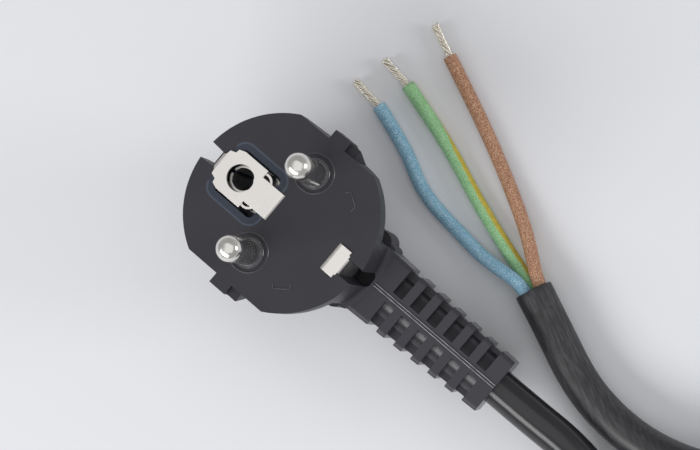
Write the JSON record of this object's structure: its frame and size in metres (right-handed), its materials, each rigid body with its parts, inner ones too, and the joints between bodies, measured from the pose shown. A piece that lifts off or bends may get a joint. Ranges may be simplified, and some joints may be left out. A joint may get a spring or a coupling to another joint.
{
  "type": "power cord",
  "caption": "Mains lead with a moulded right-angle earthed plug, ribbed strain relief, round cable and a stripped free end with insulated cores and bare strands.",
  "frame": {"origin": "centre of the plug's flat back, on the line of the two pins' midpoint, where the plug lies", "axes": "+Z along the pins away from the plug, +X along the strain relief towards the cable, +Y from the neutral pin to the line pin"},
  "size_m": [0.2053, 0.0938, 0.052],
  "materials": {
    "plug_moulding": "moulded, fine satin grain",
    "carrier_moulding": "moulded, smooth",
    "pin_plating": "nickel plated, drawn",
    "strap_plating": "nickel plated, stamped",
    "cable_sheath": "extruded, smooth",
    "brown_insulation": "extruded, powdery",
    "blue_insulation": "extruded, powdery",
    "green_yellow_insulation": "extruded, green with a yellow stripe",
    "copper_strands": "tinned, bunched strands"
  },
  "bodies": {
    "root": {"plug_body": "plug_moulding", "contact_carrier": "carrier_moulding", "line_pin": "pin_plating", "neutral_pin": "pin_plating", "earth_strap": "strap_plating", "earth_sleeve": "strap_plating", "cable_in_plug": "cable_sheath", "cable_plug_end": "cable_sheath", "cable_coil": "cable_sheath", "cable_free_end": "cable_sheath", "brown_core_in_plug": "brown_insulation", "brown_conductor_in_plug": "copper_strands", "brown_core": "brown_insulation", "brown_conductor": "copper_strands", "blue_core_in_plug": "blue_insulation", "blue_conductor_in_plug": "copper_strands", "blue_core": "blue_insulation", "blue_conductor": "copper_strands", "green_yellow_core_in_plug": "green_yellow_insulation", "green_yellow_conductor_in_plug": "copper_strands", "green_yellow_core": "green_yellow_insulation", "green_yellow_conductor": "copper_strands"}
  },
  "joints": []
}
